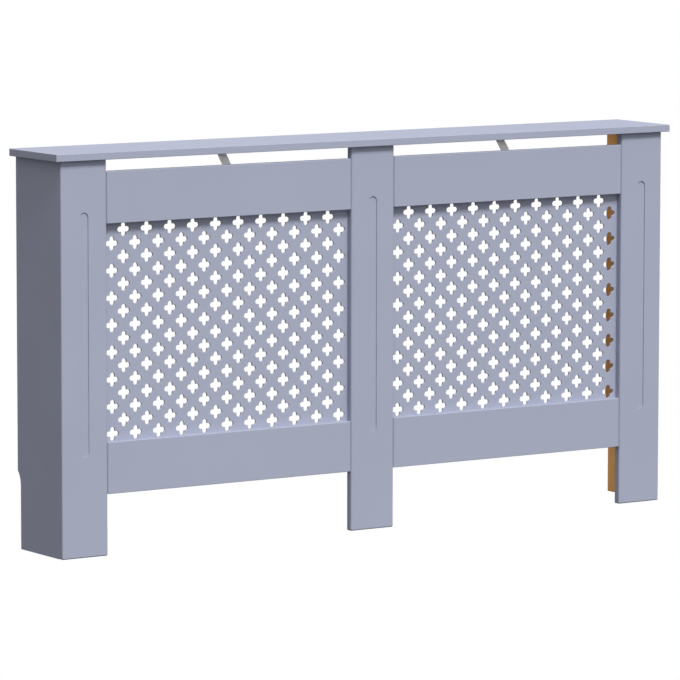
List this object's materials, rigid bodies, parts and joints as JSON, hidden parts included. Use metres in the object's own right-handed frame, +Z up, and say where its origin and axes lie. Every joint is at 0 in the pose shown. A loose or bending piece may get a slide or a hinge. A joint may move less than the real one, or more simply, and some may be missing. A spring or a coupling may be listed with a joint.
{
  "type": "radiator cover cabinet",
  "caption": "Open-backed radiator cover with a shelf top, fluted posts, rails, cross-pierced grille bays, an air slot under the shelf and skirting notches.",
  "frame": {"origin": "on the floor, under the middle of the shelf (bottom centre of the bounding box)", "axes": "+X to the right seen from the front, +Y to the rear (towards the wall), +Z up"},
  "size_m": [1.52, 0.19, 0.815],
  "materials": {
    "lacquered_board": "satin grey-blue lacquer on medium-density fibreboard, raw on the inside faces",
    "lacquered_grille": "satin grey-blue lacquer on thin fibreboard, raw on the rear",
    "galvanised_steel": "galvanised strip",
    "zinc_screw": "bright zinc plate",
    "beech_dowel": "bare beech",
    "moulded_block": "brown moulded nylon"
  },
  "bodies": {
    "root": {"block_screws": "zinc_screw", "brace_screws": "zinc_screw", "grille_screws": "zinc_screw", "left_bottom_rail": "lacquered_board", "left_front_shelf_block": "moulded_block", "left_grille": "lacquered_grille", "left_lower_post_block": "moulded_block", "left_post": "lacquered_board", "left_rear_shelf_block": "moulded_block", "left_shelf_brace": "galvanised_steel", "left_side_panel": "lacquered_board", "left_top_rail": "lacquered_board", "left_upper_post_block": "moulded_block", "left_wall_bracket": "galvanised_steel", "middle_post": "lacquered_board", "middle_post_block": "moulded_block", "post_dowels": "beech_dowel", "rail_dowels": "beech_dowel", "right_bottom_rail": "lacquered_board", "right_front_shelf_block": "moulded_block", "right_grille": "lacquered_grille", "right_lower_post_block": "moulded_block", "right_post": "lacquered_board", "right_rear_shelf_block": "moulded_block", "right_shelf_brace": "galvanised_steel", "right_side_panel": "lacquered_board", "right_top_rail": "lacquered_board", "right_upper_post_block": "moulded_block", "right_wall_bracket": "galvanised_steel", "shelf_dowels": "beech_dowel", "top_shelf": "lacquered_board", "wall_bracket_screws": "zinc_screw"}
  },
  "joints": []
}
